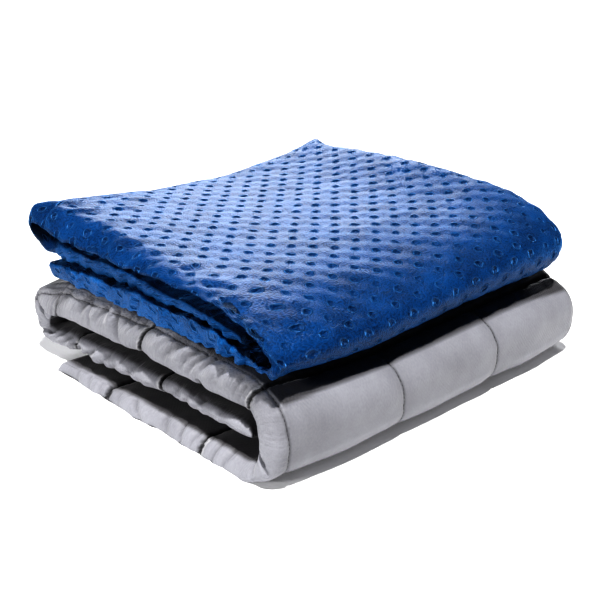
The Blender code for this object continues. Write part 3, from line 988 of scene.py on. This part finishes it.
def dot_relief(away):
    """Height of the cloth at a distance from a dot's middle: its pit and raised rim."""
    pit = -DOT_PIT * np.exp(-(away / DOT_PIT_WIDTH) ** 2)
    rim = DOT_RIM * np.exp(-((away - DOT_RIM_AT) / DOT_RIM_WIDTH) ** 2)
    return pit + rim


def cover_rows(section):
    """Lengths of the cover's rows: fine where its dots show."""
    marks, last = section.marks, section.length[-1]
    shown = marks["bottom"] + 0.06
    # start, end and step of each zone
    zones = ((0.0015, 0.070, 0.0016), (0.070, marks["back"], 0.0034),
             (marks["back"], marks["top"], 0.0026), (marks["top"], shown, 0.0017),
             (shown, last - 0.003, 0.0034))
    return np.concatenate([[0.0], *(np.arange(*zone) for zone in zones), [last - 0.0015, last]])


def cover_ring():
    """Columns round the cover: even on its outer skin, and coarse on the inner one."""
    turns = even_turns(10, COVER_ENDS.largest, COVER_HALF_THICK, COVER_ENDS.square)
    return ring_places(np.linspace(0.0, 1.0, 157), fine_at_ends(0.06, 0.009, 0.05), turns, turns)


def dot_grid(section, ring, rows, points):
    """Places on the grid of dots, with a column more than the points.

    They are lengths along and round the cloth itself, from the dot that sets the others."""
    down = np.linalg.norm(np.diff(points, axis=0), axis=-1)
    down = np.concatenate([np.zeros((1, len(ring.side))), np.cumsum(down, axis=0)])
    top_row = np.argmin(np.abs(rows - along_top(section, DOT_AT[1])))
    top = points[top_row]
    dot_column = np.argmin(np.where(ring.side > 0, np.abs(top[:, 0] - DOT_AT[0]), 1.0))
    steps = np.linalg.norm(np.roll(top, -1, axis=0) - top, axis=-1)
    around = np.concatenate([[0.0], np.cumsum(steps)])
    around *= CELLS_ROUND * DOT_CELL / around[-1]
    around = around - around[dot_column] + top[dot_column, 0] - DOT_AT[0]
    down = down - down[top_row] - (top[dot_column, 1] - DOT_AT[1])
    down = np.concatenate([down, down[:, :1]], axis=1)
    sway = lumpy(points_of(down, around)[:, :-1], DOT_SWAY)
    sway = np.concatenate([sway, sway[:, :1]], axis=1)
    turned = 1.0 - grows(np.abs(around + DOT_AT[0]), DOT_TURN_REACH, DOT_TURN_OVER)
    return down + DOT_TURN * around + sway, around - DOT_TURN * down * turned


def minky_cloth(material):
    section = folded_section(COVER_LAYERS, COVER_BACK, COVER_FRONT, COVER_FREE, COVER_HEIGHTS[2].middle)
    marks = section.marks
    ring, rows = cover_ring(), cover_rows(section)
    along = np.repeat(rows[:, np.newaxis], len(ring.side), axis=1)
    loose = clear_of_ends(section, along, FREE_REACH)
    points = folded_points(section, ring, along, cover_level, COVER_ENDS,
                           lip=lumpy(points_of(along), *COVER_LIP) * loose,
                           droop=stretch_values(section, along, COVER_DROOP),
                           tuck=COVER_TUCK, pinch=COVER_PINCH)
    x, y, z = (points[..., axis] for axis in range(3))
    rim = grows(np.abs(x), 0.128, 0.03)
    z += lumpy(points_of(along), *COVER_RUFFLES) * rim * loose * np.where(x < 0, 1.0, RIGHT_RUFFLES)
    p, q = dot_grid(section, ring, rows, points)
    normals = surface_normals(points)
    end_face = left_end(normals, x)

    # the dots, and the cloth that puffs up between them
    u, v = ((p + way * q)[:, :-1] / DOT_CELL / 2 for way in (1, -1))
    away = DOT_CELL * np.sqrt(2.0 * ((u - np.rint(u))**2 + (v - np.rint(v))**2))
    relief = dot_relief(away)
    relief -= PUFF_ACROSS / 2 * np.cos(2 * np.pi * v) + PUFF_ALONG / 2 * np.cos(2 * np.pi * u)
    relief *= grows(along - marks["back"], -0.05, 0.05)
    relief *= np.where(ring.side > 0, 1.0, grows(np.abs(x), 0.138, 0.006))

    # the listed creases, waves, and the folds and ruffles of the layered ends
    on_top = eased(normals[..., 2] / 0.5) * (along > marks["top"])
    relief += LIP_CREASING * on_top * crease_relief(COVER_TOP_CREASES, x, y)
    relief += end_face * crease_relief(COVER_END_CREASES, y, z)
    relief += lumpy(points, COVER_WAVES) + lumpy(points, COVER_LUMPS) * (1 + rim)
    corner = fades(x, -0.128, 0.02) * fades(y, -0.070, 0.02) * fades(z, 0.092, 0.008)
    relief += corner * lumpy(points_of(x, 0.45 * y, 1.6 * z + 1.5 * y), CORNER_CRUMPLE)
    under = (1.0 - LOWER_SHARE) * marks["front"] + LOWER_SHARE * marks["bottom"]
    lower = np.where(along < marks["back"], 1.0, grows(along, under, 0.02))
    ruffles = lumpy(points_of(0.15 * along, y + 0.8 * z), EDGE_RUFFLE)
    relief += ruffles * lower * grows(np.abs(x), 0.135, 0.012)
    moved = points + normals * (relief * loose)[..., np.newaxis]
    lowest = inner_level(moved[..., 0], moved[..., 1], 1.0) + LEAST_GAP
    moved[..., 2] = np.maximum(moved[..., 2], lowest)

    # what the material reads: painted shade on the back bend's -X rim and inside the folds, and painted
    # light on the ends of the lower layers
    bent = (along - marks["back"]) / (marks["top"] - marks["back"])
    bend_shade = (grows(bent, BEND_SHADE[0], BEND_SHADE_OVER)
                  * fades(bent, BEND_SHADE[1], BEND_SHADE_OVER) * fades(x, BEND_SHADE_X, 0.004))
    inside = fold_inside(COVER_INSIDE, section, ring, along, normals, x)
    masks = {"painted_shade": np.maximum(inside, bend_shade), "painted_light_ends": lower * end_face}
    return cloth_object("minky_cloth", moved, p, q, material, masks)


# ---------------------------------------------------------------- the quilted inner

def cross_seams(section):
    """Lengths along the cloth of the seams that lie across it."""
    count = int((section.length[-1] - FIRST_POCKET) / POCKET_LENGTH) + 1
    return FIRST_POCKET + POCKET_LENGTH * np.arange(count)


def inner_rows(section):
    """Lengths of the inner's rows: fine where it shows, and closest beside the cross seams."""
    marks, last = section.marks, section.length[-1]
    # start, end and step of each zone
    zones = ((0.0, marks["back"], 0.0027), (marks["back"], marks["top"], 0.0024),
             (marks["top"], marks["bottom"], 0.0013), (marks["bottom"], last, 0.0022))
    rows = np.concatenate([np.arange(*zone) for zone in zones])
    beside = (cross_seams(section)[:, np.newaxis] + MM * np.array([-1.6, -0.8, 0.0, 0.8, 1.6])).ravel()
    clear = np.abs(rows[:, np.newaxis] - beside).min(axis=1) > 0.0007
    middle = rows[clear & (rows > 0.002) & (rows < last - 0.002)]
    return np.sort(np.concatenate([middle, beside, [0.0, 0.0011, last - 0.0011, last]]))


def inner_ring():
    """Columns round the inner: closest at the -X end's hem and beside the two channel seams."""
    even = np.concatenate([np.arange(0.0, 0.05, 0.0042), np.linspace(0.05, 1.0, 76)])
    beside = []
    for seam in CHANNEL_SEAMS:
        share = (seam.top - INNER_FLAT_START) / INNER_FLAT
        beside += [share + MM * away / INNER_FLAT for away in (-9, -7.5, -6, -4.5, -3, -1.5, 0, 1.5, 3)]
    clear = np.abs(even[:, np.newaxis] - beside).min(axis=1) > 0.003
    turns = [even_turns(count, INNER_ENDS.largest, INNER_HALF_THICK, INNER_ENDS.square)
             for count in (20, 12)]
    return ring_places(np.sort(np.concatenate([even[clear], beside])),
                       fine_at_ends(0.036, 0.007, 0.04), *turns)


def groove(away, kind):
    """Depth of a groove at a distance from its line."""
    return kind.depth * np.exp(-(away / kind.width) ** 2)


def crossing_path(points, away):
    """The line of points where away passes from below 0 to above it, one for each row."""
    rows = np.arange(len(points))
    column = np.argmax((away[:, :-1] < 0) & (away[:, 1:] >= 0), axis=1)
    low, high = away[rows, column], away[rows, column + 1]
    share = np.clip(-low / np.maximum(high - low, 1e-9), 0.0, 1.0)[:, np.newaxis]
    return (points[rows, column] * (1.0 - share) + points[rows, column + 1] * share)[2:-2]


def stitches(name, paths, material):
    """Small threads laid along the paths, end to end with a gap between them."""
    one = bmesh.new()
    bmesh.ops.create_uvsphere(one, u_segments=6, v_segments=4, radius=0.5)
    # the operator's faces come in another order each run, so they are sorted by their corners
    one.verts.index_update()
    one.faces.sort(key=lambda face: sum(2.0 ** vert.index for vert in face.verts))
    stitch = mesh_of("stitch", one, material)
    bm, laid = bmesh.new(), Matrix.Identity(4)
    size = Matrix.Diagonal((STITCH_THICK, STITCH_THICK, STITCH_LENGTH, 1.0))
    for path in paths:
        length = np.concatenate([[0.0], np.cumsum(np.linalg.norm(np.diff(path, axis=0), axis=1))])
        for start in np.arange(STITCH_PITCH, length[-1] - STITCH_PITCH, STITCH_PITCH):
            tips = [Vector([np.interp(place, length, path[:, axis]) for axis in range(3)])
                    for place in (start, start + STITCH_LENGTH)]
            turn = (tips[1] - tips[0]).to_track_quat("Z", "X").to_matrix().to_4x4()
            place = Matrix.Translation((tips[0] + tips[1]) / 2) @ turn @ size
            stitch.transform(place @ laid.inverted())
            laid = place
            bm.from_mesh(stitch)
    bpy.data.meshes.remove(stitch)
    mesh = mesh_of(name, bm, material)
    mesh.shade_smooth()
    return placed(name, mesh)


def quilted_inner(material, thread):
    """The inner and the stitches of its seams."""
    section = folded_section(INNER_LAYERS, INNER_BACK, INNER_FRONT, INNER_FREE, INNER_HEIGHTS[2].middle)
    marks = section.marks
    ring, rows = inner_ring(), inner_rows(section)
    along = np.repeat(rows[:, np.newaxis], len(ring.side), axis=1)
    loose = clear_of_ends(section, along, FREE_REACH)
    outward = ring.side * np.cos(ring.turn)
    slip = np.where(ring.end < 0, (1.0 - outward) / 2, np.where(ring.side < 0, 1.0 - ring.flat, 0.0))
    skew = stretch_values(section, along, END_SKEW) * slip * clear_of_ends(section, along, 0.05)
    points = folded_points(section, ring, along + skew, inner_level, INNER_ENDS,
                           lip=lumpy(points_of(along), *INNER_LIP) * loose,
                           droop=stretch_values(section, along, INNER_DROOP))
    x, y, z = (points[..., axis] for axis in range(3))
    z += lumpy(points_of(along), *INNER_RUFFLES) * grows(np.abs(x), 0.138, 0.02) * loose
    normals = surface_normals(points)
    end_face = left_end(normals, x)

    # distances from the sewn lines, which lie on the outer skin
    outer = ring.side > 0

    def nearest(aways):
        return np.where(outer, np.minimum(*(np.abs(away) for away in aways)), 1.0)

    steps = np.linalg.norm(np.diff(points, axis=1), axis=-1)
    from_left = np.concatenate([np.zeros((len(rows), 1)), np.cumsum(steps, axis=1)], axis=1)
    from_right = from_left[:, outer][:, -1:] - from_left
    wander = lumpy(points_of(along), SEAM_WANDER)
    edges = [from_left - stretch_values(section, along, LEFT_EDGE_SEAM),
             from_right - stretch_values(section, along, RIGHT_EDGE_SEAM)]
    channels = [x - stretch_values(section, along, line) - wander for line in CHANNEL_SEAMS]
    edge_away = nearest([away + wander for away in edges])
    hem_away = nearest([away + wander - HEM_WIDTH for away in edges])
    channel_away = nearest(channels)
    cross_away = along[..., np.newaxis] - cross_seams(section)
    closest = np.argmin(np.abs(cross_away), axis=-1)
    cross_away = np.take_along_axis(cross_away, closest[..., np.newaxis], -1)[..., 0]
    cross_away = cross_away + lumpy(points, CROSS_WANDER)
    slack = np.where(closest == SLACK_SEAM, SLACK_SLIT, 1.0)
    beside_slit = cross_away * np.where(along < marks["back"], -1.0, 1.0)
    gathered = fades(along, marks["front"], 0.012)

    # the seams, the listed creases, and the cloth that the seams gather
    relief = -groove(edge_away, EDGE_LINE) - groove(edge_away, EDGE_DIP)
    relief -= groove(hem_away, HEM_LINE) * gathered
    relief -= groove(channel_away, CHANNEL_LINE) + groove(channel_away, CHANNEL_DIP)
    relief -= slack * groove(cross_away, CROSS_SLIT) + groove(cross_away, CROSS_DIP)
    relief += end_face * groove(beside_slit + LIP_AT, CROSS_LIP)
    relief += END_CREASING * end_face * crease_relief(INNER_END_CREASES, y, z)
    relief += (lumpy(points_of(along, from_left / 4.0), PLEATS) * end_face
               * np.exp(-np.maximum(from_left - 0.030, 0.0) / 0.008))
    relief += (lumpy(points_of(along, from_left / 5.0), GATHERS) * np.exp(-edge_away / 0.007) * outer
               * (LEAST_GATHER + (1.0 - LEAST_GATHER) * gathered))
    relief += lumpy(points_of(along, x / 4.0), PUCKERS) * np.exp(-channel_away / 0.008) * outer
    relief += lumpy(points_of(along / 4.0, x, z), CRUMPLE) * np.exp(-np.abs(cross_away) / 0.008)
    relief += lumpy(points, *INNER_FILL)
    relief *= clear_of_ends(section, along, 0.01)
    moved = points + normals * relief[..., np.newaxis]
    moved[..., 2] = np.maximum(moved[..., 2], 0.0)

    # what the material reads, among it painted shade where the surface sinks in, inside the folds and
    # under the cover, and painted highlights beside the slits
    hems = [grows(away, -0.001, 0.002) * fades(away, HEM_WIDTH + 0.001, 0.002) for away in edges]
    hem = np.where(outer, np.maximum(*hems), 0.0)
    # painted shade on the inner's top under the cover
    under_cover = (outer * grows(normals[..., 2], 0.10, 0.30)
                   * grows(x, UNDER_COVER[0], UNDER_COVER_OVER)
                   * grows(y, UNDER_COVER[1], UNDER_COVER_OVER))
    inside = fold_inside(INNER_INSIDE, section, ring, along, normals, x)
    lines = np.maximum(groove(edge_away, EDGE_DARK), groove(channel_away, CHANNEL_DARK))
    slits = np.minimum(slack * groove(cross_away, CROSS_DARK), 1.0)
    # painted shade where the inner's surface sinks in, as deep as it sinks
    dips = np.clip(-relief / DIP_SHADE_DEPTH, 0.0, 1.0)
    hem = np.maximum(hem, np.exp(-edge_away / 0.005))
    masks = {"seam": np.maximum(lines, slits),
             # painted highlight beside the slits
             "lip_highlight": end_face * slack * groove(beside_slit + HIGHLIGHT_AT, CROSS_HIGHLIGHT),
             "hem": hem * (LEAST_HEM + (1.0 - LEAST_HEM) * gathered),
             "gather": np.clip(0.6 * end_face + np.exp(-edge_away / 0.006) * gathered, 0.0, 1.0),
             "painted_shade": np.maximum(dips, INSIDE_SHADE * np.maximum(inside, under_cover))}

    top = moved[np.argmin(np.abs(rows - marks["top"]))]
    steps = np.linalg.norm(np.diff(top, axis=0), axis=-1)
    around = np.concatenate([[0.0], np.cumsum(steps), [steps.sum() + steps[0]]])
    lengths = np.concatenate([along, along[:, :1]], axis=1)
    piece = cloth_object("quilted_cotton_inner", moved, lengths, around + 0 * lengths, material, masks)

    paths = [crossing_path(moved, np.where(outer, away, 1.0)) for away in edges + channels]
    skin = np.flatnonzero(outer)[2:-2]
    paths += [moved[np.argmin(np.abs(rows - seam))][skin] for seam in cross_seams(section)]
    return piece, stitches("seam_stitches", paths, thread)


# ---------------------------------------------------------------- floor, lights and camera

TABLE_REACH = 0.44
BACKDROP_REACH = 4.0
BACKDROP_DEPTH = 0.0006       # how far the backdrop lies below the table
SKY_LIGHT = 0.04              # how much light the white surroundings give

# A sun's softness is how wide it stands in the sky, in degrees.
Sun = namedtuple("Sun", "name height heading softness strength colour")

SUNS = (
    Sun("key", height=78.0, heading=-118.0, softness=3.5, strength=3.3, colour=(1.0, 0.99, 0.97)),
    Sun("behind", height=18.0, heading=49.0, softness=24.0, strength=1.75, colour=(0.96, 0.97, 1.0)),
    Sun("left", height=22.0, heading=176.0, softness=9.0, strength=1.15, colour=(1.0, 1.0, 1.0)),
)


def floor():
    """A round pale table that the blanket lies on, and the white backdrop around it."""
    for name, reach, height, material in (
            ("table", TABLE_REACH, 0.0, floor_material()),
            ("backdrop", BACKDROP_REACH, -BACKDROP_DEPTH, backdrop_material())):
        bm = bmesh.new()
        bmesh.ops.create_circle(bm, cap_ends=True, segments=96, radius=reach,
                                matrix=Matrix.Translation((0.0, 0.0, height)))
        placed(name, mesh_of(name, bm, material))


def lights():
    """Suns stand at their heading, from +X towards +Y, and at their height above the floor."""
    for sun in SUNS:
        data = bpy.data.lights.new(sun.name, "SUN")
        data.angle = math.radians(sun.softness)
        data.energy = sun.strength
        data.color = sun.colour
        lamp = placed(sun.name, data)
        lamp.rotation_euler = [math.radians(a) for a in (90.0 - sun.height, 0.0, sun.heading + 90.0)]
    world = bpy.data.worlds.new("white")
    world.use_nodes = True
    tree = world.node_tree
    background = tree.nodes["Background"]
    background.inputs["Color"].default_value = WHITE
    seen = add_node(tree, "ShaderNodeLightPath").outputs["Is Camera Ray"]
    tree.links.new(ranged(tree, seen, 0.0, 1.0, SKY_LIGHT, 1.0), background.inputs["Strength"])
    bpy.context.scene.world = world


def camera():
    data = bpy.data.cameras.new("camera")
    data.lens = CAMERA_LENS
    eye = placed("camera", data)
    eye.location = CAMERA_AT
    eye.rotation_euler = [math.radians(a) for a in (90.0 - CAMERA_PITCH, 0.0, CAMERA_HEADING - 90.0)]
    bpy.context.scene.camera = eye


# ---------------------------------------------------------------- everything together

bpy.context.scene.view_settings.view_transform = "Standard"
bpy.context.scene.view_settings.look = "High Contrast"
camera()
lights()
floor()

inner, threads = quilted_inner(cotton_material(), thread_material())
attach(inner, "root")
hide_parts("weighted_inner")

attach(threads, "root")

cover = minky_cloth(minky_material())
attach(cover, "root")
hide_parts("minky_cover")
